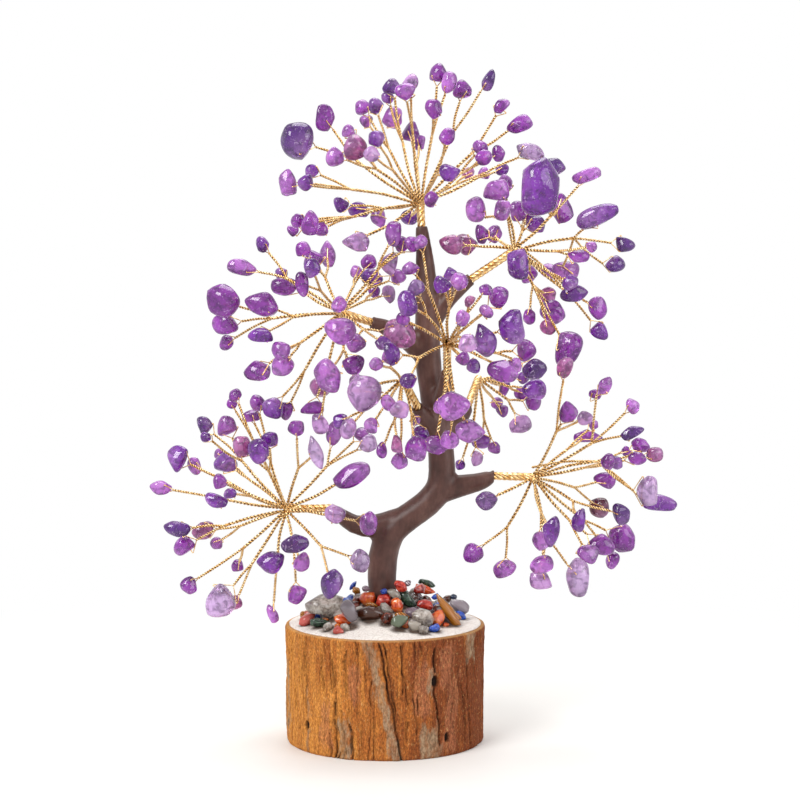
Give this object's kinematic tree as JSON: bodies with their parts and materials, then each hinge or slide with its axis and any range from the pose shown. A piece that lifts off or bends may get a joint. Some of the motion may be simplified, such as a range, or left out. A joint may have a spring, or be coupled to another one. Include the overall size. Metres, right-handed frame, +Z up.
{
  "type": "gemstone chip tree",
  "caption": "Ornamental wire tree of drilled amethyst chips in hand-bendable sprays on a brown trunk, set in stone chips on a bark-covered log slice.",
  "frame": {"origin": "centre of the log's flat underside", "axes": "+Z up the tree, -Y toward the viewer of the picture, +X to the viewer's right"},
  "size_m": [0.2107, 0.1258, 0.2694],
  "materials": {
    "log_wood": "sawn",
    "bark": "rough bark",
    "white_bed": "matt poured",
    "core_wire": "drawn",
    "trunk_brown": "satin",
    "gold_wire": "bright drawn",
    "amethyst": "tumbled polish",
    "quartz_stone": "tumbled polish",
    "jasper_stone": "tumbled polish",
    "carnelian_stone": "tumbled polish",
    "aventurine_stone": "tumbled polish",
    "tiger_eye_stone": "tumbled polish",
    "lapis_stone": "tumbled polish",
    "garnet_stone": "tumbled polish",
    "agate_stone": "tumbled polish"
  },
  "bodies": {
    "stand": {"log_core": "log_wood", "bark_sleeve": "bark", "plaster_bed": "white_bed", "trunk_core_wire": "core_wire", "trunk_skin": "trunk_brown", "bed_quartz": "quartz_stone", "bed_jasper": "jasper_stone", "bed_carnelian": "carnelian_stone", "bed_aventurine": "aventurine_stone", "bed_tiger_eye": "tiger_eye_stone", "bed_lapis": "lapis_stone", "bed_garnet": "garnet_stone", "bed_agate": "agate_stone"},
    "front_spray": {"front_rope": "gold_wire", "front_twigs": "gold_wire", "front_eyes": "gold_wire", "front_chips": "amethyst"},
    "front_left_spray": {"front_left_rope": "gold_wire", "front_left_twigs": "gold_wire", "front_left_eyes": "gold_wire", "front_left_chips": "amethyst"},
    "rear_right_spray": {"rear_right_rope": "gold_wire", "rear_right_twigs": "gold_wire", "rear_right_eyes": "gold_wire", "rear_right_chips": "amethyst"},
    "upper_left_spray": {"upper_left_rope": "gold_wire", "upper_left_twigs": "gold_wire", "upper_left_eyes": "gold_wire", "upper_left_chips": "amethyst"},
    "upper_right_spray": {"upper_right_rope": "gold_wire", "upper_right_twigs": "gold_wire", "upper_right_eyes": "gold_wire", "upper_right_chips": "amethyst"},
    "crown_spray": {"crown_rope": "gold_wire", "crown_twigs": "gold_wire", "crown_eyes": "gold_wire", "crown_chips": "amethyst"},
    "lower_right_spray": {"lower_right_rope": "gold_wire", "lower_right_twigs": "gold_wire", "lower_right_eyes": "gold_wire", "lower_right_chips": "amethyst"},
    "lower_left_spray": {"lower_left_rope": "gold_wire", "lower_left_twigs": "gold_wire", "lower_left_eyes": "gold_wire", "lower_left_chips": "amethyst"}
  },
  "joints": [
    {"name": "front_bend", "type": "hinge", "parent": "stand", "child": "front_spray", "pos_m": [0.0245, -0.014, 0.149], "axis": [-0.9997, 0.0263, 0], "range_deg": [-4, 16]},
    {"name": "front_left_bend", "type": "hinge", "parent": "stand", "child": "front_left_spray", "pos_m": [0.0128, -0.009, 0.135], "axis": [-0.9132, 0.4074, 0], "range_deg": [-18, 2]},
    {"name": "rear_right_bend", "type": "hinge", "parent": "stand", "child": "rear_right_spray", "pos_m": [0.033, 0.005, 0.1335], "axis": [0.9545, -0.2983, 0], "range_deg": [-18, 18]},
    {"name": "upper_left_bend", "type": "hinge", "parent": "stand", "child": "upper_left_spray", "pos_m": [-0.0057, -0.005, 0.1683], "axis": [-0.2992, 0, -0.9542], "range_deg": [-4, 16]},
    {"name": "upper_right_bend", "type": "hinge", "parent": "stand", "child": "upper_right_spray", "pos_m": [0.0345, -0.003, 0.1855], "axis": [-0.5492, 0, 0.8357], "range_deg": [-14, 8]},
    {"name": "crown_bend", "type": "hinge", "parent": "stand", "child": "crown_spray", "pos_m": [0.0145, 0, 0.2065], "axis": [-0.9983, 0, -0.0587], "range_deg": [-9, 14]},
    {"name": "lower_right_bend", "type": "hinge", "parent": "stand", "child": "lower_right_spray", "pos_m": [0.044, 0, 0.1065], "axis": [0.0325, 0, 0.9995], "range_deg": [-16, 12]},
    {"name": "lower_left_bend", "type": "hinge", "parent": "stand", "child": "lower_left_spray", "pos_m": [-0.0215, 0, 0.0935], "axis": [0.0166, 0, -0.9999], "range_deg": [-10, 16]}
  ]
}
